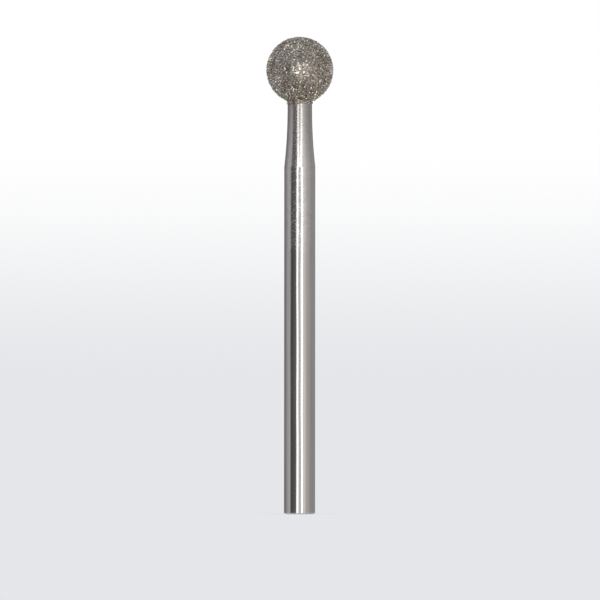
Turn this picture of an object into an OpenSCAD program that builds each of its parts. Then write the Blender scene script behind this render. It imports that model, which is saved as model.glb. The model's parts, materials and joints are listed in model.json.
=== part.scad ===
// Ball-headed diamond bur: a turned steel blank with a grit coating on its head.
// +Z runs along the axis, from the free end of the shank up to the head.
// Every length is in millimetres.

/* [Shank] */
// Diameter of the shank that the collet grips
shank_d = 3.0; // [2.6:0.05:3.6]
// Length of the straight shank
shank_l = 33.5; // [15:0.5:60]
// Bevel around the free end
end_bevel = 0.1; // [0.02:0.01:0.4]

/* [Neck] */
// Diameter of the neck
neck_d = 2.36; // [1.6:0.02:2.5]
// Length of the hollow taper between shank and neck
taper_l = 5.7; // [2:0.1:12]
// Length of straight neck between the taper and the coating
neck_l = 0.7; // [0.2:0.1:6]

/* [Head] */
// Diameter of the steel ball under the coating
ball_d = 6.12; // [4:0.02:9]

/* [Coating] */
// Thickness of the nickel that bonds the grains
bond_t = 0.1; // [0.04:0.01:0.25]
// Height of the tallest grain above the nickel
grain_h = 0.12; // [0.02:0.01:0.2]
// Rows of grains along one side of their triangular layout
grain_rows = 7; // [3:1:7]
// How far a grain strays from an even layout, as a share of the spacing of the layout's points
grain_scatter = 0.35; // [0:0.05:0.35]
// Number that picks one random layout of the grains
grain_seed = 17; // [1:1:99]
// Smallest clearance between the steel and the coating
coating_gap = 0.005; // [0.002:0.001:0.02]

/* [Hidden] */

shank_r = shank_d / 2;
neck_r = neck_d / 2;
ball_r = ball_d / 2;
bond_r = ball_r + bond_t;

// Sides of a whole circle, more on the taper's large arc
round_sides = 256;
arc_sides = 1440;

// Heights of the taper's two ends and of the ball's centre
taper_z = shank_l;
neck_z = taper_z + taper_l;
ball_z = neck_z + neck_l + sqrt(pow(bond_r, 2) - pow(neck_r, 2));

// The hollow taper is an arc that leaves the neck without an edge and meets the shank at one
taper_step = shank_r - neck_r;
taper_arc_r = (pow(taper_l, 2) + pow(taper_step, 2)) / (2 * taper_step);

// Height range of the points between the grains and of the grains, as shares of grain_h
floor_share = [0, 0.3];
peak_share = [0.4, 1];

// An icosahedron of radius 1, by its corners, its edges and its sides as corner numbers
golden = (1 + sqrt(5)) / 2;
corners = [
    for (a = [-1, 1], b = [-golden, golden], turn = [0:2])
        let (v = [0, a, b])
        unit([v[turn], v[(turn + 1) % 3], v[(turn + 2) % 3]])
];
last_corner = len(corners) - 1;
edge_span = norm(unit([0, 1, golden]) - unit([0, -1, golden]));
edges = [
    for (a = [0:last_corner], b = [0:last_corner])
        if (a < b && are_neighbours(a, b)) [a, b]
];
edge_table = [
    for (a = [0:last_corner])
        [for (b = [0:last_corner]) edge_number(min(a, b), max(a, b))]
];
sides = [
    for (e = edges, c = [0:last_corner])
        if (c > e[1] && are_neighbours(e[0], c) && are_neighbours(e[1], c))
            facing_out([e[0], e[1], c])
];
side_distance = norm(corners[sides[0][0]] + corners[sides[0][1]] + corners[sides[0][2]]) / 3;

// Each side is divided into steps: three to a row of grains outside, a few on the lining
grain_steps = 3 * grain_rows;
grain_layout = ball_layout(grain_steps);
grain_reach = grain_scatter * edge_span / grain_steps;
lining_steps = 9;

// Radius of the lining's points, at which its widest facet still clears the steel ball
lining_facet = edge_span / (lining_steps * sqrt(3) * side_distance);
lining_r = (ball_r + coating_gap) * sqrt(1 + pow(lining_facet, 2));

stray_turn = rands(0, 360, len(grain_layout), grain_seed);
stray_share = rands(0, 1, len(grain_layout), grain_seed + 1);
height_pick = rands(0, 1, len(grain_layout), grain_seed + 2);

function unit(v) = v / norm(v);

function are_neighbours(a, b) = norm(corners[a] - corners[b]) < edge_span * 1.1;

function edge_number(a, b) = [for (n = [0:len(edges) - 1]) if (edges[n] == [a, b]) n][0];

// Corner numbers of one side, ordered so that they turn clockwise when seen from outside
function facing_out(s) =
    cross(corners[s[1]] - corners[s[0]], corners[s[2]] - corners[s[0]]) * corners[s[0]] < 0
    ? s
    : [s[0], s[2], s[1]];

// Points of a divided ball, each its direction from the centre and whether a grain sits there.
// The corners come first, then the points on the edges, then those inside the sides.
function ball_layout(steps) = concat(
    [for (corner = corners) [corner, true]],
    [
        for (e = edges, i = [1:steps - 1])
            [unit(corners[e[0]] * (steps - i) + corners[e[1]] * i), i % 3 == 0]
    ],
    [
        for (s = sides, i = [1:steps - 2], j = [1:1:steps - 1 - i])
            [
                unit(corners[s[0]] * (steps - i - j) + corners[s[1]] * i + corners[s[2]] * j),
                (i - j) % 3 == 0
            ]
    ]
);

// Number of the point that lies i steps from corner a towards corner b
function edge_point(steps, a, b, i) =
    len(corners) + edge_table[a][b] * (steps - 1) + (a < b ? i : steps - i) - 1;

// Number of the point that lies i steps and j steps into side n from its first corner
function side_point(steps, n, i, j) =
    let (s = sides[n])
    i == 0 && j == 0 ? s[0]
    : i == steps ? s[1]
    : j == steps ? s[2]
    : j == 0 ? edge_point(steps, s[0], s[1], i)
    : i == 0 ? edge_point(steps, s[0], s[2], j)
    : i + j == steps ? edge_point(steps, s[1], s[2], j)
    : len(corners) + len(edges) * (steps - 1) + n * (steps - 1) * (steps - 2) / 2
        + (i - 1) * (steps - 1) - i * (i - 1) / 2 + j - 1;

// Triangles of a divided ball, as point numbers
function ball_faces(steps) = [
    for (n = [0:len(sides) - 1], i = [0:steps - 1], j = [0:steps - 1 - i])
        let (
            right = side_point(steps, n, i + 1, j),
            left = side_point(steps, n, i, j + 1)
        )
        each concat(
            [[side_point(steps, n, i, j), right, left]],
            i + j < steps - 1 ? [[right, side_point(steps, n, i + 1, j + 1), left]] : []
        )
];

// Direction of point n of the grain layout after it has strayed a random way over the ball
function strayed(n) =
    let (
        straight = grain_layout[n][0],
        across = unit(cross(straight, abs(straight.z) < 0.8 ? [0, 0, 1] : [1, 0, 0])),
        along = cross(straight, across),
        reach = grain_reach * sqrt(stray_share[n])
    )
    unit(straight + reach * (across * cos(stray_turn[n]) + along * sin(stray_turn[n])));

// Distance of point n of the grain layout from the ball's centre
function height(n) =
    let (share = grain_layout[n][1] ? peak_share : floor_share)
    bond_r + grain_h * (share[0] + (share[1] - share[0]) * height_pick[n]);

// Nickel and grains as one closed ball, each grain a six-sided point among lower ones
module grit_ball() {
    polyhedron(
        points = [for (n = [0:len(grain_layout) - 1]) strayed(n) * height(n)],
        faces = ball_faces(grain_steps)
    );
}

// Inside of the coating, in flat facets round the steel ball
module lining_ball() {
    polyhedron(
        points = [for (point = ball_layout(lining_steps)) point[0] * lining_r],
        faces = ball_faces(lining_steps)
    );
}

// Half outline of the shank, with its bevelled end
module shank_outline() {
    polygon([
        [0, 0],
        [shank_r - end_bevel, 0],
        [shank_r, end_bevel],
        [shank_r, taper_z],
        [0, taper_z]
    ]);
}

// Half outline of the hollow taper
module taper_outline() {
    difference() {
        translate([0, taper_z]) square([shank_r, taper_l]);
        translate([neck_r + taper_arc_r, neck_z]) circle(r = taper_arc_r, $fn = arc_sides);
    }
}

// Half outline of the neck and the ball
module head_outline() {
    translate([0, neck_z]) square([neck_r, ball_z - neck_z]);
    intersection() {
        translate([0, ball_z]) circle(r = ball_r, $fn = round_sides);
        translate([0, ball_z - ball_r]) square([ball_r, ball_d]);
    }
}

// Shank, neck and ball, turned from one bar
module steel_blank() {
    color([0.72, 0.71, 0.70])
    rotate_extrude($fn = round_sides) {
        shank_outline();
        taper_outline();
        head_outline();
    }
}

// Nickel-bonded grains over the ball, open where the neck enters
module diamond_coating() {
    color([0.50, 0.47, 0.44])
    translate([0, 0, ball_z])
    difference() {
        grit_ball();
        lining_ball();
        translate([0, 0, -ball_d])
            cylinder(r = neck_r + coating_gap, h = ball_d, $fn = round_sides);
    }
}

steel_blank();
diamond_coating();
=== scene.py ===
import json
import logging
import math
from dataclasses import dataclass, field
from enum import Enum
from typing import Any, Iterable, Union

import bmesh
import bpy
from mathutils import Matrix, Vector, noise

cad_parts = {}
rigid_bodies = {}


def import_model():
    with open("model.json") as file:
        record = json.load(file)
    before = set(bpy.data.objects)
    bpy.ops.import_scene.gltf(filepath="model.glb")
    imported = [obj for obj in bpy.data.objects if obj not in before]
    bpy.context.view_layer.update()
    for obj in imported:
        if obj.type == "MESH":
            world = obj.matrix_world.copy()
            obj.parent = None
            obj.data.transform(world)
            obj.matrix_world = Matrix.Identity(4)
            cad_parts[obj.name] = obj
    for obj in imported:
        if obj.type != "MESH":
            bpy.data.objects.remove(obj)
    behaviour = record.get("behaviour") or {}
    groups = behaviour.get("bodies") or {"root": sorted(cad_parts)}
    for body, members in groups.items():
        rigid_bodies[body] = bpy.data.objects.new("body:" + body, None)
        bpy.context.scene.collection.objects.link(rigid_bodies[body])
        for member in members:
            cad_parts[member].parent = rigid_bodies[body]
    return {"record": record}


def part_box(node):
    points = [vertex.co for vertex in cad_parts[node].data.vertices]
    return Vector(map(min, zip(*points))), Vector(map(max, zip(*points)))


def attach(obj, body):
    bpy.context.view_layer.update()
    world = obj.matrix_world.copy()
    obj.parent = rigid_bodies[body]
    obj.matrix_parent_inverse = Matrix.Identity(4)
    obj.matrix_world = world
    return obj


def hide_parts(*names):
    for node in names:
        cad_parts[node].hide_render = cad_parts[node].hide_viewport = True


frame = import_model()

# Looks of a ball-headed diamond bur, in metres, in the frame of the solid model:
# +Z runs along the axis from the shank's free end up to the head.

LOG = logging.getLogger("diamond_bur")
MM = 0.001
GOLDEN_ANGLE = 2.399963
BODY = "root"
BLANK_NODE = "steel_blank"
COATING_NODE = "diamond_coating"
# Attributes of the meshes: a grain's random number, and which side of the coating a face is on
TONE = "grain_tone"
SIDE = "coating_side"

Number = Union[float, int]
Operand = Union["Wire", Number]
Span = tuple[float, float]
Triple = tuple[float, float, float]
Colour = Triple


class Surface(Enum):
    """Which side of the coating a face of its mesh belongs to."""

    OUTSIDE = 1.0
    INSIDE = 0.0


class Draw(Enum):
    """The random draws made for every grain, each with what it adds to the seed."""

    SINK = 1
    SIZE = 2
    TABLED_FORM = 3
    TONE = 5
    IS_TABLED = 6
    LEAN_X = 7
    LEAN_Y = 8
    TURN = 9
    OTHER_FORM = 10
    STRETCH = 11


@dataclass
class Wire:
    """An output socket of a node tree, with arithmetic that adds the tree's Math nodes."""

    graph: "Graph"
    socket: bpy.types.NodeSocket

    def _math(self, operation: str, *operands: Operand, clamp: bool = False) -> "Wire":
        """Add one Math node.

        Args:
            operation: The Math node's operation.
            operands: Its inputs in order.
            clamp: Whether the result is kept between 0 and 1.

        Returns:
            The node's output.
        """
        settings = {"operation": operation, "use_clamp": clamp}
        return self.graph.node("ShaderNodeMath", settings, dict(enumerate(operands)))

    def __add__(self, other: Operand) -> "Wire":
        """Sum with another value."""
        return self._math("ADD", self, other)

    def __radd__(self, other: Operand) -> "Wire":
        """Sum with a number on the left."""
        return self._math("ADD", other, self)

    def __sub__(self, other: Operand) -> "Wire":
        """Difference to another value."""
        return self._math("SUBTRACT", self, other)

    def __rsub__(self, other: Operand) -> "Wire":
        """Difference from a number on the left."""
        return self._math("SUBTRACT", other, self)

    def __mul__(self, other: Operand) -> "Wire":
        """Product with another value."""
        return self._math("MULTIPLY", self, other)

    def __rmul__(self, other: Operand) -> "Wire":
        """Product with a number on the left."""
        return self._math("MULTIPLY", other, self)

    def __truediv__(self, other: Operand) -> "Wire":
        """Quotient by another value."""
        return self._math("DIVIDE", self, other)

    def __rtruediv__(self, other: Operand) -> "Wire":
        """Quotient of a number on the left."""
        return self._math("DIVIDE", other, self)

    def __gt__(self, other: Operand) -> "Wire":
        """1 where this value is the greater one, otherwise 0."""
        return self._math("GREATER_THAN", self, other)

    def clamped(self) -> "Wire":
        """The value kept between 0 and 1."""
        return self._math("ADD", self, 0.0, clamp=True)

    def fraction(self) -> "Wire":
        """The part after the decimal point."""
        return self._math("FRACT", self)

    def step(self, start: Number, end: Number) -> "Wire":
        """Rise smoothly from 0 to 1 over a range of this value.

        Args:
            start: Value at which the result leaves 0. It may be the greater one, for a fall.
            end: Value at which the result reaches 1.

        Returns:
            The smoothed step.
        """
        low, high = min(start, end), max(start, end)
        ends = (0.0, 1.0) if start < end else (1.0, 0.0)
        settings = {"interpolation_type": "SMOOTHSTEP"}
        values = {"Value": self, "From Min": low, "From Max": high, "To Min": ends[0], "To Max": ends[1]}
        return self.graph.node("ShaderNodeMapRange", settings, values, "Result")

    def between(self, start: float, end: float) -> "Wire":
        """Go from one number to another as this value goes from 0 to 1."""
        return self * (end - start) + start


class Graph:
    """A node tree that is being built."""

    def __init__(self, tree: bpy.types.NodeTree) -> None:
        """Take an empty tree.

        Args:
            tree: The tree to fill.
        """
        self.tree = tree

    @staticmethod
    def _socket(sockets: Any, key: Union[str, int]) -> bpy.types.NodeSocket:
        """Find a socket of a node.

        Args:
            sockets: The node's inputs or outputs.
            key: The socket's place, identifier or name.

        Returns:
            The socket.
        """
        if isinstance(key, int):
            return sockets[key]
        for socket in sockets:
            if socket.identifier == key:
                return socket
        return sockets[key]

    def raw(
        self, kind: str, settings: dict[str, Any], inputs: dict[Union[str, int], Any]
    ) -> bpy.types.Node:
        """Add a node, set its properties first and its sockets after them.

        Args:
            kind: The node's type.
            settings: Property names and values.
            inputs: Socket places, identifiers or names, each with a value or a Wire.

        Returns:
            The new node.
        """
        node = self.tree.nodes.new(kind)
        for name, value in settings.items():
            setattr(node, name, value)
        for key, value in inputs.items():
            socket = self._socket(node.inputs, key)
            if isinstance(value, Wire):
                self.tree.links.new(value.socket, socket)
            else:
                socket.default_value = value
        return node

    def node(
        self,
        kind: str,
        settings: dict[str, Any],
        inputs: dict[Union[str, int], Any],
        output: Union[str, int] = 0,
    ) -> Wire:
        """Add a node and hand on one of its outputs.

        Args:
            kind: The node's type.
            settings: Property names and values.
            inputs: Socket places, identifiers or names, each with a value or a Wire.
            output: Place, identifier or name of the output.

        Returns:
            The chosen output.
        """
        node = self.raw(kind, settings, inputs)
        return Wire(self, self._socket(node.outputs, output))

    def mix(self, factor: Operand, first: Any, second: Any) -> Wire:
        """Blend two colours.

        Args:
            factor: Share of the second colour.
            first: Colour at factor 0, as RGB or a Wire.
            second: Colour at factor 1, as RGB or a Wire.

        Returns:
            The blended colour.
        """
        settings = {"data_type": "RGBA", "blend_type": "MIX", "clamp_factor": True}
        values = {"Factor_Float": factor, "A_Color": rgba(first), "B_Color": rgba(second)}
        return self.node("ShaderNodeMix", settings, values, "Result_Color")

    def noise(self, scale: Union[Number, Triple], detail: Number = 2.0, roughness: Number = 0.5) -> Wire:
        """Add fractal noise on Object coordinates.

        Args:
            scale: Features in a metre, as one number or one for each axis.
            detail: Octaves.
            roughness: Weight of the fine octaves.

        Returns:
            The noise value, about 0 to 1.
        """
        stretch, scale = (scale, 1.0) if isinstance(scale, tuple) else ((1.0, 1.0, 1.0), scale)
        place = object_place(self, stretch)
        values = {"Vector": place, "Scale": scale, "Detail": detail, "Roughness": roughness}
        return self.node("ShaderNodeTexNoise", {}, values, 0)

    def vector(self, operation: str, *operands: Wire, output: str = "Vector") -> Wire:
        """Add one Vector Math node, and hand on its Vector or its Value."""
        inputs = dict(enumerate(operands))
        return self.node("ShaderNodeVectorMath", {"operation": operation}, inputs, output)

    def scaled(self, way: Wire, length: Wire) -> Wire:
        """A vector times a number."""
        return self.node("ShaderNodeVectorMath", {"operation": "SCALE"}, {0: way, "Scale": length})

    def metal(self, relief: Wire, values: dict[str, Any]) -> None:
        """Close a material with a bumped metal shader.

        Args:
            relief: Height of the surface's detail, in metres.
            values: The shader's sockets, each with a value or a Wire.
        """
        bump = self.node("ShaderNodeBump", {}, {"Strength": 1.0, "Distance": 1.0, "Height": relief})
        close_material(self, self.node("ShaderNodeBsdfPrincipled", {}, {**values, "Normal": bump}))


def rgba(colour: Any) -> Any:
    """Give a plain colour its alpha, and leave a Wire as it is."""
    return colour if isinstance(colour, Wire) else (*colour, 1.0)


def new_material(name: str) -> tuple[bpy.types.Material, Graph]:
    """Make a material with an empty node tree.

    Args:
        name: The material's name.

    Returns:
        The material and its tree.
    """
    material = bpy.data.materials.new(name)
    material.use_nodes = True
    material.node_tree.nodes.clear()
    return material, Graph(material.node_tree)


def close_material(graph: Graph, shader: Wire) -> None:
    """Lead a shader to the material's output."""
    graph.raw("ShaderNodeOutputMaterial", {}, {"Surface": shader})


def object_place(graph: Graph, scale: Triple = (1.0, 1.0, 1.0)) -> Wire:
    """Object coordinates, stretched by a Mapping node.

    Args:
        graph: The material's tree.
        scale: Factor on each axis.

    Returns:
        The coordinates.
    """
    place = graph.node("ShaderNodeTexCoord", {}, {}, "Object")
    return graph.node("ShaderNodeMapping", {}, {"Vector": place, "Scale": scale})


def height_of(graph: Graph) -> Wire:
    """Height above the shank's free end, in metres."""
    return graph.node("ShaderNodeSeparateXYZ", {}, {"Vector": object_place(graph)}, "Z")


@dataclass(frozen=True)
class TurnedSteel:
    """Finish of the blank: a polished shank that turns to fine plated grain towards the head."""

    base: Colour = (0.576, 0.565, 0.557)
    # Colour that the metal darkens to towards the head, between darkens_from and darkens_to
    head_base: Colour = (0.450, 0.436, 0.422)
    stain: Colour = (0.34, 0.325, 0.30)
    polished_roughness: float = 0.09
    plated_roughness: float = 0.11
    head_roughness: float = 0.10
    satin_roughness: float = 0.62
    speck_roughness: float = 0.34
    plated_from: float = 25.2 * MM
    plated_full: float = 26.0 * MM
    taper_from: float = 33.4 * MM
    darkens_from: float = 33.0 * MM
    darkens_to: float = 40.0 * MM
    taper_fade: float = 0.6 * MM
    wave_depth: float = 0.06 * MM
    streak_depth: float = 0.0007 * MM
    grain_depth: float = 0.004 * MM
    fray_width: float = 2.0 * MM
    # Features of each pattern in a metre, across the bur and along it where the two differ
    fray_scale: float = 900.0
    wave_scale: Triple = (420.0, 420.0, 90.0)
    streak_scale: Triple = (5200.0, 5200.0, 60.0)
    grain_scale: float = 7000.0
    speck_scale: float = 6200.0
    mottle_scale: float = 1900.0
    satin_scale: float = 19000.0
    # Noise values at which a pattern sets in, and at which it is full where it has an end
    speck_range: Span = (0.55, 0.70)
    satin_range: Span = (0.44, 0.62)
    mottle_from: float = 0.45
    streak_from: float = 0.42
    # Strength on the polished metal and on the plated metal, or for satin before and after it darkens
    mottle_strength: Span = (0.1, 1.0)
    streak_strength: Span = (1.9, 0.3)
    satin_strength: Span = (0.15, 0.80)
    streak_roughness: float = 0.06

    def material(self) -> bpy.types.Material:
        """Build the finish.

        Returns:
            The material.
        """
        material, graph = new_material("turned_steel")
        height = height_of(graph)
        frayed = graph.noise(self.fray_scale)
        plated = (height + (frayed - 0.5) * self.fray_width).step(self.plated_from, self.plated_full)
        head = height.step(self.taper_from, self.taper_from + self.taper_fade)
        darkens = height.step(self.darkens_from, self.darkens_to)

        wave = graph.noise(self.wave_scale, 1.0)
        streak = graph.noise(self.streak_scale)
        grain = graph.noise(self.grain_scale, 2.0, 0.6)
        specks = graph.noise(self.speck_scale, 1.0).step(*self.speck_range)
        specks = specks * plated * height.step(self.darkens_to, self.darkens_from)
        mottle = graph.noise(self.mottle_scale, 3.0, 0.6)
        satin = graph.noise(self.satin_scale, 1.0).step(*self.satin_range)

        # Base colour darkening towards the head
        tone = graph.mix(darkens, self.base, self.head_base)
        mottled = (mottle - self.mottle_from).clamped() * plated.between(*self.mottle_strength)
        tone = graph.mix(mottled, tone, self.stain)
        streaked = (streak - self.streak_from).clamped() * plated.between(*self.streak_strength)
        tone = graph.mix(streaked, tone, self.stain)

        roughness = plated.between(self.polished_roughness, self.plated_roughness)
        roughness = roughness + head * (self.head_roughness - self.plated_roughness)
        satin = satin * darkens.between(*self.satin_strength)
        roughness = roughness + head * satin * (self.satin_roughness - self.head_roughness)
        roughness = roughness + specks * (self.speck_roughness - self.plated_roughness)
        roughness = roughness + (streak - 0.5) * self.streak_roughness

        relief = wave * self.wave_depth + streak * self.streak_depth * (1.0 - plated)
        relief = relief + grain * self.grain_depth * plated
        graph.metal(relief, {"Base Color": tone, "Roughness": roughness, "Metallic": 1.0})
        return material


@dataclass(frozen=True)
class BondNickel:
    """Finish of the nickel between the grains: dull, with random patches of painted shade for its hollows,
    and a fine nodular skin.
    """

    base: Colour = (0.50, 0.462, 0.408)
    # Painted shade: a dark colour for the shade in the hollows between the grains
    painted_hollow_shade: Colour = (0.225, 0.207, 0.180)
    roughness: float = 0.32
    nodule_depth: float = 0.012 * MM
    patch_scale: float = 3200.0
    patch_range: Span = (0.42, 0.72)
    patch_roughness: float = 0.2
    nodule_scale: float = 11000.0

    def material(self) -> bpy.types.Material:
        """Build the finish.

        Returns:
            The material.
        """
        material, graph = new_material("bond_nickel")
        patches = graph.noise(self.patch_scale, 2.0, 0.6)
        nodules = graph.noise(self.nodule_scale, 2.0, 0.6)
        # Random patches get the painted shade colour; the same patches vary the roughness
        tone = graph.mix(patches.step(*self.patch_range), self.painted_hollow_shade, self.base)
        roughness = self.roughness + (patches - 0.5) * self.patch_roughness
        graph.metal(
            nodules * self.nodule_depth, {"Base Color": tone, "Roughness": roughness, "Metallic": 1.0}
        )
        return material


@dataclass(frozen=True)
class DiamondGrain:
    """Finish of the grains: most wear a skin of nickel, some are bare and show their own colour."""

    dark: Colour = (0.340, 0.322, 0.297)
    cool: Colour = (0.675, 0.658, 0.702)
    warm: Colour = (0.880, 0.778, 0.624)
    olive: Colour = (0.675, 0.666, 0.555)
    bare: Colour = (0.400, 0.340, 0.255)
    amber: Colour = (0.54, 0.41, 0.23)
    bare_share: float = 0.14
    amber_share: float = 0.010
    roughness: float = 0.13
    facet_depth: float = 0.004 * MM
    wear_scale: float = 6000.0
    facet_scale: float = 16000.0
    # A grain's random number, taken this many times, picks its hue and whether it is olive
    hue_turns: float = 17.3
    olive_turns: float = 41.9
    olive_range: Span = (0.70, 0.80)
    # What wear adds to the shade and the roughness, and how a bare grain's shine differs
    wear_shade: float = 0.8
    wear_roughness: float = 0.14
    bare_polish: float = 0.08
    bare_metallic: float = 0.3

    def material(self) -> bpy.types.Material:
        """Build the finish.

        Returns:
            The material.
        """
        material, graph = new_material("diamond_grain")
        pick = graph.node("ShaderNodeAttribute", {"attribute_name": TONE}, {}, "Fac")
        wear = graph.noise(self.wear_scale)
        facets = graph.noise(self.facet_scale, 1.0)
        is_bare = pick > (1.0 - self.bare_share)
        is_amber = pick > (1.0 - self.amber_share)
        shade = (pick / (1.0 - self.bare_share) + (wear - 0.5) * self.wear_shade).clamped()
        tint = graph.mix((pick * self.hue_turns).fraction(), self.cool, self.warm)
        is_olive = (pick * self.olive_turns).fraction().step(*self.olive_range)
        tone = graph.mix(shade, self.dark, graph.mix(is_olive, tint, self.olive))
        tone = graph.mix(is_amber, graph.mix(is_bare, tone, self.bare), self.amber)
        values = {
            "Base Color": tone,
            "Roughness": self.roughness + wear * self.wear_roughness - is_bare * self.bare_polish,
            "Metallic": 1.0 - (1.0 - self.bare_metallic) * is_bare,
        }
        graph.metal(facets * self.facet_depth, values)
        return material


def link(name: str, data: Any) -> bpy.types.Object:
    """Put a mesh, a lamp or a camera in the scene as an object at the origin.

    Args:
        name: The object's name.
        data: What it shows.

    Returns:
        The new object.
    """
    linked = bpy.data.objects.new(name, data)
    bpy.context.scene.collection.objects.link(linked)
    return linked


def dress(name: str, mesh: bpy.types.Mesh, material: bpy.types.Material) -> bpy.types.Object:
    """Put a finished mesh in the scene.

    Args:
        name: The piece's name.
        mesh: Its mesh, with its place in its points.
        material: Its finish.

    Returns:
        The new object.
    """
    mesh.materials.clear()
    mesh.materials.append(material)
    return link(name, mesh)


def shank_radius() -> float:
    """Radius of the shank, from the mount that grips it."""
    mounts = {mount["name"]: mount for mount in frame["record"]["mounts"]}
    return mounts["shank"]["dims"]["r_mm"] * MM


def around(radius: float, turn: float, height: float) -> Vector:
    """A point by its radius, its height, and its turn in radians from +X to +Y."""
    return Vector((radius * math.cos(turn), radius * math.sin(turn), height))


def ring_points(radius: float, height: float, sides: int) -> list[Vector]:
    """Points of one level ring, counter-clockwise from +X seen from above."""
    return [around(radius, math.tau * i / sides, height) for i in range(sides)]


def drift(place: Vector) -> Vector:
    """A smooth random vector at a place, the same in every run.

    Args:
        place: Where to look it up.

    Returns:
        The vector, with each part between -1 and 1.
    """
    shifts = ((9.3, -1.5, -8.0), (0.0, 0.0, 0.0), (-2.7, 6.1, 4.4))
    return Vector([noise.noise(place + Vector(shift)) for shift in shifts])


def band_faces(lower: list[Any], upper: list[Any]) -> Iterable[tuple[Any, Any, Any, Any]]:
    """Quads between two rings of the same length, facing away from the axis.

    Args:
        lower: Corners of the lower ring.
        upper: Corners of the upper ring.

    Returns:
        The corners of each quad.
    """
    count = len(lower)
    for i in range(count):
        j = (i + 1) % count
        yield lower[i], lower[j], upper[j], upper[i]


@dataclass
class SteelBlank:
    """Shank, hollow taper, neck and ball, turned from one bar."""

    shank_l: float = 33.5 * MM
    taper_l: float = 5.7 * MM
    neck_r: float = 1.18 * MM
    end_bevel: float = 0.1 * MM
    sides: int = 256
    taper_rings: int = 40
    ball_rings: int = 48
    crease_deg: float = 4.0
    shank_r: float = field(init=False)
    ball_r: float = field(init=False)
    ball_z: float = field(init=False)

    def __post_init__(self) -> None:
        """Take the shank's radius from its mount and the ball from the node's box."""
        low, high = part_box(BLANK_NODE)
        self.shank_r = shank_radius()
        self.ball_r = (high[0] - low[0]) / 2
        self.ball_z = high[2] - self.ball_r

    @property
    def neck_z(self) -> float:
        """Height at which the taper runs out into the straight neck."""
        return self.shank_l + self.taper_l

    def outline(self) -> list[tuple[float, float]]:
        """Radius and height of each ring, from the free end up to just under the ball's top.

        Returns:
            The rings in order.
        """
        rings = [
            (self.shank_r - self.end_bevel, 0.0),
            (self.shank_r, self.end_bevel),
            (self.shank_r, self.shank_l),
        ]
        step = self.shank_r - self.neck_r
        arc_r = (self.taper_l**2 + step**2) / (2 * step)
        for i in range(1, self.taper_rings + 1):
            below = self.taper_l * (1 - i / self.taper_rings)
            rings.append((self.neck_r + arc_r - math.sqrt(arc_r**2 - below**2), self.neck_z - below))
        start = math.pi - math.asin(self.neck_r / self.ball_r)
        for i in range(self.ball_rings):
            polar = start * (1 - i / self.ball_rings)
            rings.append((self.ball_r * math.sin(polar), self.ball_z + self.ball_r * math.cos(polar)))
        return rings

    def mesh(self) -> bpy.types.Mesh:
        """Revolve the outline into a closed mesh with its real edges kept sharp.

        Returns:
            The mesh.
        """
        build = bmesh.new()
        rings = [
            [build.verts.new(point) for point in ring_points(radius, height, self.sides)]
            for radius, height in self.outline()
        ]
        for lower, upper in zip(rings, rings[1:]):
            for corners in band_faces(lower, upper):
                build.faces.new(corners)
        build.faces.new(list(reversed(rings[0])))
        top = build.verts.new((0.0, 0.0, self.ball_z + self.ball_r))
        for i in range(self.sides):
            build.faces.new((rings[-1][i], rings[-1][(i + 1) % self.sides], top))
        mesh = bpy.data.meshes.new("turned_blank")
        build.to_mesh(mesh)
        build.free()
        mesh.shade_smooth()
        mesh.set_sharp_from_angle(angle=math.radians(self.crease_deg))
        return mesh

    def build(self) -> bpy.types.Object:
        """Make the finished blank in place of its solid.

        Returns:
            The piece.
        """
        piece = dress("turned_blank", self.mesh(), TurnedSteel().material())
        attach(piece, BODY)
        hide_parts(BLANK_NODE)
        return piece


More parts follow.
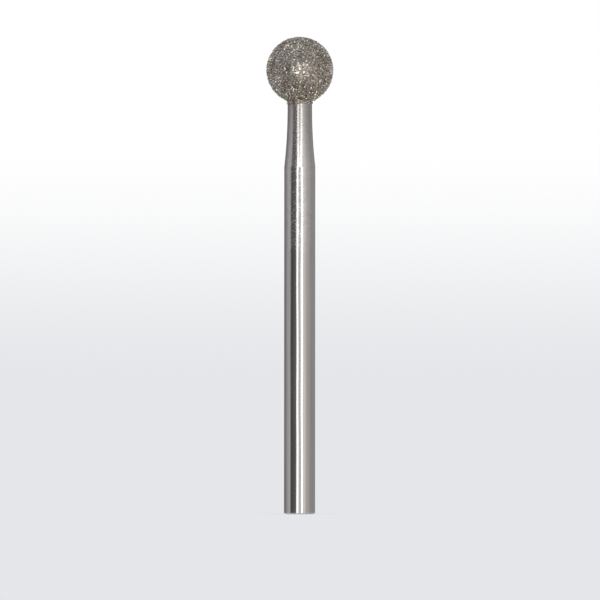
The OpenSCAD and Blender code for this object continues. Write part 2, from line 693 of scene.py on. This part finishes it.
@dataclass(frozen=True)
class Crystals:
    """The kinds of closed crystals that lie on the head, each about 1 in radius."""

    tabled: int = 3
    blunt: int = 2
    splinters: int = 2
    # Radius of the first kind's flat top against its girdle's, and what each further kind adds
    table_width: Span = (0.74, 0.08)
    # Height of a tabled crystal's flat top, girdle and foot, and the foot's radius
    table_levels: Triple = (0.62, 0.0, -0.7)
    foot_width: float = 0.55
    # How much of an octahedron's tips is gone in a kind numbered 0, and what each further kind adds
    tip_cut: Span = (0.20, 0.15)
    splinter_points: int = 11
    splinter_form: Triple = (1.15, 0.80, 0.85)
    # How far corners stray, as a share of the radius
    tabled_stray: float = 0.45
    tabled_rise: float = 0.2
    blunt_stray: float = 0.18
    splinter_stray: float = 0.35
    # Steps by which kinds, corners and levels lie apart in the noise that makes them stray
    tabled_steps: Triple = (4.3, 1.3, 5.0)
    blunt_steps: Span = (3.1, 1.7)
    splinter_steps: Span = (2.7, 1.9)

    @property
    def count(self) -> int:
        """Number of kinds."""
        return self.tabled + self.blunt + self.splinters

    def collection(self) -> bpy.types.Collection:
        """Make the crystals: first the flat-topped ones, then blunt octahedra and splinters.

        Returns:
            A collection that isn't in the scene.
        """
        kinds = bpy.data.collections.new("crystal_kinds")
        for kind in range(self.count):
            if kind < self.tabled:
                corners = self.tabled_corners(kind)
            elif kind < self.tabled + self.blunt:
                corners = self.blunt_corners(kind)
            else:
                corners = self.splinter_corners(kind)
            build = bmesh.new()
            for corner in corners:
                build.verts.new(corner)
            bmesh.ops.convex_hull(build, input=build.verts, use_existing_faces=False)
            loose = [vert for vert in build.verts if not vert.link_faces]
            bmesh.ops.delete(build, geom=loose, context="VERTS")
            bmesh.ops.recalc_face_normals(build, faces=build.faces)
            mesh = bpy.data.meshes.new(f"crystal_{kind}")
            build.to_mesh(mesh)
            build.free()
            kinds.objects.link(bpy.data.objects.new(mesh.name, mesh))
        return kinds

    def tabled_corners(self, kind: int) -> list[Vector]:
        """Corners of a grain with a broad flat top and an uneven girdle.

        Args:
            kind: Number of the crystal, which sets its top and how it is out of true.

        Returns:
            The corners.
        """
        corners = []
        sides = 5 + kind % 2
        kind_step, corner_step, level_step = self.tabled_steps
        widths = (self.table_width[0] + self.table_width[1] * kind, 1.0, self.foot_width)
        for level, radius in zip(self.table_levels, widths):
            for i in range(sides):
                turn = math.tau * (i + 0.5 * (level == 0.0)) / sides
                away = drift(Vector((kind * kind_step, i * corner_step, level * level_step)))
                spread = radius * (1.0 + self.tabled_stray * away.x)
                rise = level if level > 0 else level + self.tabled_rise * away.z
                corners.append(around(spread, turn, rise))
        return corners

    def blunt_corners(self, kind: int) -> list[Vector]:
        """Corners of an octahedron with its tips cut off, a little out of true.

        Args:
            kind: Number of the crystal, which sets the cut and how it is out of true.

        Returns:
            The corners.
        """
        corners = []
        cut = self.tip_cut[0] + self.tip_cut[1] * kind
        kind_step, tip_step = self.blunt_steps
        for axis in range(3):
            for sign in (-1.0, 1.0):
                for across in range(4):
                    corner = Vector((0.0, 0.0, 0.0))
                    corner[axis] = sign * (1.0 - cut * 0.5)
                    corner[(axis + 1 + across // 2) % 3] = cut * 0.5 * (-1.0) ** across
                    away = drift(Vector((kind * kind_step, axis * tip_step + sign, 5.0)))
                    corners.append(corner + self.blunt_stray * away)
        return corners

    def splinter_corners(self, kind: int) -> list[Vector]:
        """Corners of a long broken grain.

        Args:
            kind: Number of the crystal, which sets its form.

        Returns:
            The corners.
        """
        corners = []
        kind_step, corner_step = self.splinter_steps
        for i in range(self.splinter_points):
            rise = 1.0 - 2.0 * (i + 0.5) / self.splinter_points
            corner = around(math.sqrt(1.0 - rise * rise), GOLDEN_ANGLE * i + kind, rise)
            corner += self.splinter_stray * drift(Vector((kind * kind_step, i * corner_step, 1.0)))
            corners.append(Vector([share * part for share, part in zip(self.splinter_form, corner)]))
        return corners


@dataclass
class GritHead:
    """The coating over the ball: a shell of nickel and the diamond grains that it holds."""

    blank: SteelBlank
    kinds: Crystals = Crystals()
    bond_t: float = 0.085 * MM
    lining_gap: float = 0.005 * MM
    skirt_t: float = 0.035 * MM
    skirt_l: float = 0.33 * MM
    swell: float = 0.026 * MM
    swell_scale: float = 18.0
    # Fall of the swell's octaves, the step between them, and their number
    swell_octaves: tuple[float, float, int] = (0.8, 2.0, 3)
    sides: int = 224
    ball_rings: int = 104
    lining_rings: int = 40
    skirt_rings: int = 10
    skirt_lump: float = 0.7
    skirt_lump_scale: float = 9.0
    crease_deg: float = 60.0
    grain_spacing: float = 0.25 * MM
    grain_size: float = 0.145 * MM
    grain_spread: float = 0.26
    grain_stretch: float = 0.35
    grain_sink: float = 0.026 * MM
    skirt_grain: float = 1.10
    skirt_sink: float = 0.052 * MM
    tabled_share: float = 0.80
    tabled_tilt: float = 6.5
    seed: int = 9
    # Spots tried in a square of the spacing, and the random ranges of how deep and long a grain is
    tries: float = 6.0
    sink_range: Span = (-1.0, 0.4)
    stretch_range: Span = (0.2, 1.0)
    # Share of the flat tops that the skirt does without
    skirt_rough: float = 0.8
    # Runs of nickel down the neck: direction in degrees from the front, half width, length
    runs: tuple[Triple, ...] = (
        (-52.0, 36.0, 0.17 * MM),
        (-21.0, 10.0, 0.15 * MM),
        (128.0, 24.0, 0.12 * MM),
        (-150.0, 16.0, 0.16 * MM),
    )
    # Unevenness of the nickel's edge: radius and height of its circle in the noise, and its size
    edge_waves: tuple[Triple, ...] = ((4.0, 7.0, 0.04 * MM), (13.0, 3.0, 0.05 * MM))

    @property
    def bond_r(self) -> float:
        """Radius of the nickel's mean surface."""
        return self.blank.ball_r + self.bond_t

    @property
    def rim_polar(self) -> float:
        """Angle from the top of the ball at which the nickel reaches the neck."""
        return math.pi - math.asin((self.blank.neck_r + self.skirt_t) / self.bond_r)

    @property
    def rim_z(self) -> float:
        """Height of the corner between the ball and the neck."""
        return self.blank.ball_z + self.bond_r * math.cos(self.rim_polar)

    @property
    def reach(self) -> float:
        """Greatest distance of a grain from the ball's centre, from the solid coating's box."""
        low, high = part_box(COATING_NODE)
        return min(high[0], -low[0], high[1], -low[1], high[2] - self.blank.ball_z)

    def skirt(self, turn: float) -> float:
        """Length of nickel on the neck in one direction.

        Args:
            turn: Direction in radians, counter-clockwise from +X seen from above.

        Returns:
            The length.
        """
        front = math.degrees(turn) + 90.0
        length = self.skirt_l
        for centre, half_width, run in self.runs:
            away = (front - centre + 180.0) % 360.0 - 180.0
            length += run * math.exp(-((away / half_width) ** 2))
        for radius, level, size in self.edge_waves:
            length += size * noise.noise(around(radius, turn, level))
        return length

    def outside_point(self, ring: int, side: int) -> Vector:
        """A point of the nickel's outside.

        Args:
            ring: Ring number from the top, over the ball and then down the neck.
            side: Place on the ring.

        Returns:
            The point.
        """
        turn = math.tau * side / self.sides
        if ring <= self.ball_rings:
            polar = self.rim_polar * ring / self.ball_rings
            flat = math.sin(polar)
            way = around(flat, turn, math.cos(polar))
            swell = self.swell * noise.fractal(way * self.swell_scale, *self.swell_octaves)
            point = way * (self.bond_r + swell * flat)
            return point + Vector((0.0, 0.0, self.blank.ball_z))
        down = (ring - self.ball_rings) / self.skirt_rings
        height = self.rim_z - self.skirt(turn) * down
        way = around(1.0, turn, (height - self.rim_z) / self.blank.neck_r)
        lump = 1.0 + self.skirt_lump * noise.noise(way * self.skirt_lump_scale)
        thickness = self.skirt_t * lump * math.sqrt(max(0.0, 1 - down**3))
        return around(self.blank.neck_r + self.lining_gap + thickness, turn, height)

    def shell(self) -> bpy.types.Mesh:
        """The nickel as a closed shell, with its outside and inside told apart.

        Returns:
            The mesh.
        """
        build = bmesh.new()
        side_layer = build.faces.layers.float.new(SIDE)
        last = self.ball_rings + self.skirt_rings
        outside = [
            [build.verts.new(self.outside_point(ring, side)) for side in range(self.sides)]
            for ring in range(1, last + 1)
        ]
        inner_r = self.blank.ball_r + self.lining_gap
        bore_r = self.blank.neck_r + self.lining_gap
        mouth = math.pi - math.asin(bore_r / inner_r)
        inside = []
        for ring in range(1, self.lining_rings + 1):
            polar = mouth * ring / self.lining_rings
            height = self.blank.ball_z + inner_r * math.cos(polar)
            points = ring_points(inner_r * math.sin(polar), height, self.sides)
            inside.append([build.verts.new(point) for point in points])

        def add(corners: Iterable[Any], surface: Surface) -> None:
            """Add a face and note its side."""
            face = build.faces.new(list(corners))
            face[side_layer] = surface.value

        for upper, lower in zip(outside, outside[1:]):
            for corners in band_faces(lower, upper):
                add(corners, Surface.OUTSIDE)
        for upper, lower in zip(inside, inside[1:]):
            for corners in band_faces(upper, lower):
                add(corners, Surface.INSIDE)
        for corners in band_faces(inside[-1], outside[-1]):
            add(corners, Surface.INSIDE)
        poles = (
            (outside[0], self.bond_r, Surface.OUTSIDE, 1),
            (inside[0], inner_r, Surface.INSIDE, -1),
        )
        for ring, radius, surface, order in poles:
            top = build.verts.new((0.0, 0.0, self.blank.ball_z + radius))
            for i in range(self.sides):
                corners = (ring[i], ring[(i + 1) % self.sides], top)
                add(corners[::order], surface)
        mesh = bpy.data.meshes.new("nickel_bond")
        build.to_mesh(mesh)
        build.free()
        mesh.shade_smooth()
        mesh.set_sharp_from_angle(angle=math.radians(self.crease_deg))
        return mesh

    def scatter_tree(self, kinds: dict[str, str]) -> tuple[bpy.types.NodeTree, dict[str, str]]:
        """Geometry Nodes that scatter the grains over the outside of a shell.

        Args:
            kinds: Kind of socket of each named input.

        Returns:
            The tree, and the identifier of each named input.
        """
        tree = bpy.data.node_groups.new("scatter_grains", "GeometryNodeTree")
        for way in ("INPUT", "OUTPUT"):
            tree.interface.new_socket("Geometry", in_out=way, socket_type="NodeSocketGeometry")
        names = {}
        for name, kind in kinds.items():
            socket = tree.interface.new_socket(name, in_out="INPUT", socket_type="NodeSocket" + kind)
            names[name] = socket.identifier
        graph = Graph(tree)
        start = graph.raw("NodeGroupInput", {}, {})

        def given(name: str) -> Wire:
            """An input of the group."""
            return Wire(graph, start.outputs[name])

        def random(draw: Draw, low: Number, high: Number) -> Wire:
            """A random value for each grain.

            Args:
                draw: What it is for, which keeps it from being like another draw.
                low: Smallest value.
                high: Greatest value. If it is a whole number, so is the result.

            Returns:
                The value.
            """
            kind, suffix = ("INT", "_002") if isinstance(high, int) else ("FLOAT", "_001")
            values = {"Min" + suffix: low, "Max" + suffix: high, "Seed": given("Seed") + draw.value}
            return graph.node("FunctionNodeRandomValue", {"data_type": kind}, values, "Value" + suffix)

        is_outside = graph.node(
            "GeometryNodeInputNamedAttribute", {"data_type": "FLOAT"}, {"Name": SIDE}, "Attribute"
        )
        values = {
            "Mesh": given("Geometry"),
            "Selection": is_outside > 0.5,
            "Distance Min": given("Spacing"),
            "Density Max": self.tries / (given("Spacing") * given("Spacing")),
            "Seed": given("Seed"),
        }
        settings = {"distribute_method": "POISSON"}
        points = graph.raw("GeometryNodeDistributePointsOnFaces", settings, values)
        normal = Wire(graph, points.outputs["Normal"])
        place = graph.node("GeometryNodeInputPosition", {}, {})
        height = graph.node("ShaderNodeSeparateXYZ", {}, {0: place}, "Z")
        on_skirt = given("Rim Height") > height
        rise = random(Draw.SINK, *self.sink_range) * given("Sink") - on_skirt * given("Skirt Sink")
        spots = Wire(graph, points.outputs["Points"])
        seated = graph.node(
            "GeometryNodeSetPosition", {}, {"Geometry": spots, "Offset": graph.scaled(normal, rise)}
        )
        values = {"Collection": given("Crystals"), "Separate Children": True, "Reset Children": True}
        forms = graph.node("GeometryNodeCollectionInfo", {}, values)
        tabled_share = given("Tabled") * (1.0 - self.skirt_rough * on_skirt)
        is_tabled = tabled_share > random(Draw.IS_TABLED, 0.0, 1.0)
        tilt = math.pi - is_tabled * (math.pi - given("Table Tilt"))
        values = {
            "X": random(Draw.LEAN_X, -1.0, 1.0) * tilt,
            "Y": random(Draw.LEAN_Y, -1.0, 1.0) * tilt,
            "Z": random(Draw.TURN, 0.0, math.tau),
        }
        lean = graph.node("ShaderNodeCombineXYZ", {}, values)
        upright = graph.node("FunctionNodeAlignRotationToVector", {"axis": "Z"}, {"Vector": normal})
        leaning = graph.node("FunctionNodeEulerToRotation", {}, {0: lean})
        turned = graph.node(
            "FunctionNodeRotateRotation", {"rotation_space": "LOCAL"}, {0: upright, 1: leaning}
        )
        tabled = random(Draw.TABLED_FORM, 0, self.kinds.tabled - 1)
        others = random(Draw.OTHER_FORM, self.kinds.tabled, self.kinds.count - 1)
        form = tabled * is_tabled + others * (1.0 - is_tabled)
        small = 1.0 - on_skirt * (1.0 - given("Skirt Size"))
        size = small * given("Size") * (1.0 + random(Draw.SIZE, -1.0, 1.0) * given("Spread"))
        longer = 1.0 + random(Draw.STRETCH, *self.stretch_range) * given("Stretch")
        scale = graph.node("ShaderNodeCombineXYZ", {}, {"X": size * longer, "Y": size / longer, "Z": size})
        values = {"Points": seated, "Instance": forms, "Pick Instance": True, "Instance Index": form}
        values.update({"Rotation": turned, "Scale": scale})
        grains = graph.node("GeometryNodeInstanceOnPoints", {}, values)
        values = {"Geometry": grains, "Name": TONE, "Value": random(Draw.TONE, 0.0, 1.0)}
        settings = {"data_type": "FLOAT", "domain": "INSTANCE"}
        toned = graph.node("GeometryNodeStoreNamedAttribute", settings, values)
        solid = graph.node("GeometryNodeRealizeInstances", {}, {"Geometry": toned})
        outward = graph.vector("SUBTRACT", place, given("Centre"))
        over = graph.vector("LENGTH", outward, output="Value") - given("Reach")
        pull = graph.scaled(graph.vector("NORMALIZE", outward), -1.0 * over)
        too_far = (over > 0.0) * (height > given("Rim Height"))
        kept = graph.node(
            "GeometryNodeSetPosition", {}, {"Geometry": solid, "Selection": too_far, "Offset": pull}
        )
        final = graph.node("GeometryNodeRealizeInstances", {}, {"Geometry": kept})
        final = graph.node("GeometryNodeSetMaterial", {}, {"Geometry": final, "Material": given("Finish")})
        graph.raw("NodeGroupOutput", {}, {"Geometry": final})
        return tree, names

    def grains(self, shell: bpy.types.Mesh, finish: bpy.types.Material) -> bpy.types.Mesh:
        """Scatter the grains and turn them into one plain mesh.

        Args:
            shell: The nickel's mesh, which carries them.
            finish: Their material.

        Returns:
            The mesh of all grains.
        """
        crystals = self.kinds.collection()
        inputs = {
            "Crystals": ("Collection", crystals),
            "Finish": ("Material", finish),
            "Centre": ("Vector", (0.0, 0.0, self.blank.ball_z)),
            "Reach": ("Float", self.reach),
            "Spacing": ("Float", self.grain_spacing),
            "Size": ("Float", self.grain_size),
            "Spread": ("Float", self.grain_spread),
            "Stretch": ("Float", self.grain_stretch),
            "Sink": ("Float", self.grain_sink),
            "Rim Height": ("Float", self.rim_z),
            "Skirt Size": ("Float", self.skirt_grain),
            "Skirt Sink": ("Float", self.skirt_sink),
            "Tabled": ("Float", self.tabled_share),
            "Table Tilt": ("Float", math.radians(self.tabled_tilt)),
            "Seed": ("Int", self.seed),
        }
        tree, names = self.scatter_tree({name: kind for name, (kind, _) in inputs.items()})
        carrier = link("grain_carrier", shell.copy())
        modifier = carrier.modifiers.new("scatter", "NODES")
        modifier.node_group = tree
        for name, (_, value) in inputs.items():
            modifier[names[name]] = value
        depsgraph = bpy.context.evaluated_depsgraph_get()
        mesh = bpy.data.meshes.new_from_object(
            carrier.evaluated_get(depsgraph), preserve_all_data_layers=True, depsgraph=depsgraph
        )
        carrier.modifiers.remove(modifier)
        bpy.data.objects.remove(carrier)
        for crystal in list(crystals.objects):
            bpy.data.objects.remove(crystal)
        bpy.data.collections.remove(crystals)
        mesh.shade_flat()
        return mesh

    def build(self) -> list[bpy.types.Object]:
        """Make the nickel shell and its grains in place of the solid coating.

        Returns:
            The pieces.
        """
        shell = self.shell()
        grain_finish = DiamondGrain().material()
        pieces = [
            dress("diamond_grains", self.grains(shell, grain_finish), grain_finish),
            dress("nickel_bond", shell, BondNickel().material()),
        ]
        for piece in pieces:
            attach(piece, BODY)
            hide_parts(COATING_NODE)
        return pieces


@dataclass(frozen=True)
class Panel:
    """An upright panel of the studio: where it starts and ends, how softly, and its brightness."""

    start: float
    start_soft: float
    end: float
    end_soft: float
    level: float
    tint: Colour
    low: float = -42.0
    high: float = 42.0
    rise_soft: float = 12.0

    def colour(self) -> Colour:
        """Tint times level."""
        return tuple(self.level * channel for channel in self.tint)


@dataclass
class Studio:
    """Pale floor, room, ring light, lamp and camera. Turns are in degrees to the right of the lens."""

    floor_side: Colour = (0.41, 0.395, 0.38)
    ceiling: Colour = (0.412, 0.420, 0.460)
    backdrop_low: Colour = (0.78, 0.795, 0.82)
    backdrop_high: Colour = (1.0, 1.0, 1.0)
    # Heights and turns over which one tone passes into the next, in degrees
    room_fade: Span = (-40.0, 10.0)
    backdrop_fade: Span = (-0.5, 0.9)
    behind_fade: Span = (170.0, 178.0)
    panels: tuple[Panel, ...] = (
        Panel(-100.0, 16.0, -36.0, 10.0, 0.74, (0.96, 0.99, 1.05), 22.0, 54.0, 9.0),
        Panel(-152.0, 16.0, -60.0, 2.0, 0.27, (1.03, 0.98, 0.98), -22.0, 22.0, 12.0),
        Panel(-110.0, 26.0, -60.0, 2.0, 0.60, (1.02, 0.96, 1.01), -36.0, 22.0, 12.0),
        Panel(-78.0, 10.0, -46.0, 12.0, 0.32, (1.00, 0.98, 0.96), -52.0, -16.0, 10.0),
        Panel(-72.0, 3.0, -30.0, 9.0, 0.090, (0.92, 1.00, 1.02), -5.0, 13.0, 3.0),
        Panel(-52.0, 8.0, -30.0, 9.0, 0.150, (1.04, 1.00, 0.86), -5.0, 13.0, 3.0),
        Panel(-78.0, 4.0, -65.0, 3.0, 0.60, (1.02, 0.96, 1.02), 0.45, 16.0, 0.7),
        Panel(-8.0, 4.0, 6.0, 4.0, 0.80, (1.00, 0.97, 1.03)),
        Panel(20.0, 6.0, 76.0, 26.0, 0.62, (1.06, 0.98, 0.95)),
        Panel(20.0, 6.0, 44.0, 13.0, 0.98, (1.03, 0.98, 0.96)),
        Panel(96.0, 14.0, 128.0, 14.0, 0.41, (1.07, 0.99, 0.92)),
        Panel(-176.0, 3.0, -152.0, 6.0, 0.15, (1.03, 1.00, 0.97), -50.0, 50.0),
        Panel(150.0, 6.0, 176.0, 3.0, 0.20, (1.03, 1.00, 0.97), -50.0, 50.0),
        Panel(36.0, 12.0, 134.0, 16.0, 0.52, (1.06, 0.99, 0.95), -58.0, -20.0, 9.0),
        Panel(-142.0, 14.0, -96.0, 14.0, 0.62, (0.99, 0.99, 1.02), -56.0, -16.0, 9.0),
    )
    floor_r: float = 12 * MM
    floor_sides: int = 96
    floor_tone: Colour = (0.86, 0.86, 0.865)
    floor_roughness: float = 0.8
    floor_gloss: float = 0.1
    floor_lift: Colour = (0.334, 0.339, 0.346)
    fade_start: float = 2 * MM
    fade_end: float = 9 * MM
    ring_turn: float = 0.15
    ring_r: float = 22.4
    ring_soft: float = 0.8
    lens_turn: float = -0.75
    lens_r: float = 9.5
    lens_soft: float = 1.2
    lens_stretch: float = 1.32
    ring_level: Colour = (2.68, 2.60, 2.55)
    lamp_distance: float = 0.50
    top_rise: float = 82.0
    top_span: float = 50.0
    top_level: float = 0.40
    camera_distance: float = 1.0
    camera_clip: Span = (0.01, 20.0)
    sensor: float = 36.0
    shank_px: float = 31.08
    frame_px: float = 600.0
    foot_row: float = 514.0
    axis_column: float = 299.68
    lean: float = -0.045

    def direction(self, graph: Graph) -> tuple[Wire, Wire]:
        """Where a ray of the world goes.

        Args:
            graph: The world's tree.

        Returns:
            Turn to the right of the lens and height above the horizon, in degrees.
        """
        ray = graph.node("ShaderNodeTexCoord", {}, {}, "Generated")
        way = graph.raw("ShaderNodeSeparateXYZ", {}, {0: ray})
        x, y, z = (Wire(graph, way.outputs[axis]) for axis in "XYZ")
        turn = graph.node("ShaderNodeMath", {"operation": "ARCTAN2"}, {0: x, 1: -1.0 * y})
        rise = graph.node("ShaderNodeMath", {"operation": "ARCSINE"}, {0: z})
        return turn * math.degrees(1.0), rise * math.degrees(1.0)

    @staticmethod
    def seen(graph: Graph) -> tuple[Wire, Wire]:
        """Who sees a surface.

        Args:
            graph: The tree of the surface or the world.

        Returns:
            1 where the lens does, and 1 where the lens, a mirror or glass does.
        """
        rays = graph.raw("ShaderNodeLightPath", {}, {})
        names = ("Is Camera Ray", "Is Glossy Ray", "Is Transmission Ray")
        lens, gloss, glass = (Wire(graph, rays.outputs[name]) for name in names)
        return lens, (lens + gloss + glass).clamped()

    @staticmethod
    def disc(aside: Wire, rise: Wire, radius: float, soft: float) -> Wire:
        """A round patch of directions with a soft edge.

        Args:
            aside: Turn from the patch's middle, in degrees.
            rise: Height from its middle, in degrees.
            radius: Its radius, in degrees.
            soft: Half width of its edge, in degrees.

        Returns:
            1 inside and 0 outside.
        """
        return (aside * aside + rise * rise).step((radius + soft) ** 2, (radius - soft) ** 2)

    def world(self) -> None:
        """A grey room with soft panels, a ring light round the lens and a plain pale backdrop.

        The lens sees nothing but the backdrop, and a mirror or glass sees it straight behind the bur.
        """
        world = bpy.data.worlds.new("studio")
        world.use_nodes = True
        world.node_tree.nodes.clear()
        graph = Graph(world.node_tree)
        turn, rise = self.direction(graph)
        tone = graph.mix(rise.step(*self.room_fade), self.floor_side, self.ceiling)
        for panel in self.panels:
            level = rise.step(panel.high + panel.rise_soft, panel.high - panel.rise_soft)
            level = level * rise.step(panel.low - panel.rise_soft, panel.low + panel.rise_soft)
            inside = turn.step(panel.start - panel.start_soft, panel.start + panel.start_soft)
            inside = inside * turn.step(panel.end + panel.end_soft, panel.end - panel.end_soft)
            tone = graph.mix(inside * level, tone, panel.colour())
        ring = self.disc(turn - self.ring_turn, rise, self.ring_r, self.ring_soft)
        lens_hole = self.disc(turn - self.lens_turn, rise / self.lens_stretch, self.lens_r, self.lens_soft)
        tone = graph.mix(ring * (1.0 - lens_hole), tone, self.ring_level)
        lens, any_view = self.seen(graph)
        behind = (turn * turn).step(self.behind_fade[0] ** 2, self.behind_fade[1] ** 2) * any_view
        backdrop = graph.mix(rise.step(*self.backdrop_fade), self.backdrop_low, self.backdrop_high)
        tone = graph.mix((lens + behind).clamped(), tone, backdrop)
        sky = graph.node("ShaderNodeBackground", {}, {"Color": tone, "Strength": 1.0})
        graph.raw("ShaderNodeOutputWorld", {}, {"Surface": sky})
        bpy.context.scene.world = world

    def floor(self) -> None:
        """A pale floor that keeps the shadow near the bur and runs out into the backdrop.

        Scattered light meets the plain floor. The lens sees it lifted by a glow near the bur, where
        the shadow lies, and as the backdrop further out. A mirror or glass sees it lifted near the
        bur, and the room further out.
        """
        mesh = bpy.data.meshes.new("floor")
        rim = ring_points(self.floor_r, 0.0, self.floor_sides)
        mesh.from_pydata(rim, [], [tuple(range(self.floor_sides))])
        material, graph = new_material("pale_floor")
        distance = graph.vector("LENGTH", object_place(graph), output="Value")
        far = distance.step(self.fade_start, self.fade_end)
        lens, any_view = self.seen(graph)
        matt = {
            "Base Color": rgba(self.floor_tone),
            "Roughness": self.floor_roughness,
            "Specular IOR Level": self.floor_gloss,
        }
        glow = {"Emission Color": rgba(self.floor_lift), "Emission Strength": 1.0}
        plain = graph.node("ShaderNodeBsdfPrincipled", {}, matt)
        lifted = graph.node("ShaderNodeBsdfPrincipled", {}, {**matt, **glow})
        open_floor = graph.node("ShaderNodeEmission", {}, {"Color": rgba(self.backdrop_low)})
        clear = graph.node("ShaderNodeBsdfTransparent", {}, {})
        outer = graph.node("ShaderNodeMixShader", {}, {0: lens, 1: clear, 2: open_floor})
        viewed = graph.node("ShaderNodeMixShader", {}, {0: far, 1: lifted, 2: outer})
        close_material(graph, graph.node("ShaderNodeMixShader", {}, {0: any_view, 1: plain, 2: viewed}))
        dress("floor", mesh, material)

    def top_lamp(self) -> None:
        """A square soft box above the bur that faces its head and doesn't show to the lens."""
        rise = math.radians(self.top_rise)
        way = Vector((0.0, -math.cos(rise), math.sin(rise)))
        lamp = bpy.data.lights.new("top_box", "AREA")
        lamp.shape = "SQUARE"
        lamp.size = 2 * self.lamp_distance * math.tan(math.radians(self.top_span / 2))
        lamp.energy = self.top_level * math.pi * lamp.size**2
        holder = link("top_box", lamp)
        holder.location = Vector((0.0, 0.0, self.aim_z)) + way * self.lamp_distance
        holder.rotation_euler = way.to_track_quat("Z", "Y").to_euler()
        holder.visible_camera = False

    @property
    def pixel(self) -> float:
        """Real width of one pixel of the photograph at the bur."""
        return 2 * shank_radius() / self.shank_px

    @property
    def aim_z(self) -> float:
        """Height that the lens looks at, in the middle of the picture."""
        return (self.foot_row - self.frame_px / 2) * self.pixel

    def camera(self) -> None:
        """A long lens level with the middle of the picture, in front of the bur."""
        lens = bpy.data.cameras.new("camera")
        lens.sensor_width = self.sensor
        lens.lens = self.sensor * self.camera_distance / (self.frame_px * self.pixel)
        lens.clip_start, lens.clip_end = self.camera_clip
        holder = link("camera", lens)
        aside = (self.frame_px / 2 - self.axis_column) * self.pixel
        holder.location = (aside, -self.camera_distance, self.aim_z)
        holder.rotation_euler = (math.pi / 2, math.radians(self.lean), 0.0)
        bpy.context.scene.camera = holder

    def build(self) -> None:
        """Set up the whole studio."""
        bpy.context.scene.view_settings.view_transform = "Standard"
        self.world()
        self.floor()
        self.top_lamp()
        self.camera()


def main() -> None:
    """Build the studio and the bur, and report each piece."""
    logging.basicConfig(level=logging.INFO, format="%(name)s: %(message)s")
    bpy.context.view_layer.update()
    Studio().build()
    blank = SteelBlank()
    pieces = [blank.build(), *GritHead(blank).build()]
    for piece in pieces:
        piece.data.calc_loop_triangles()
        LOG.info("%s: %d triangles", piece.name, len(piece.data.loop_triangles))


if __name__ == "__main__":
    main()
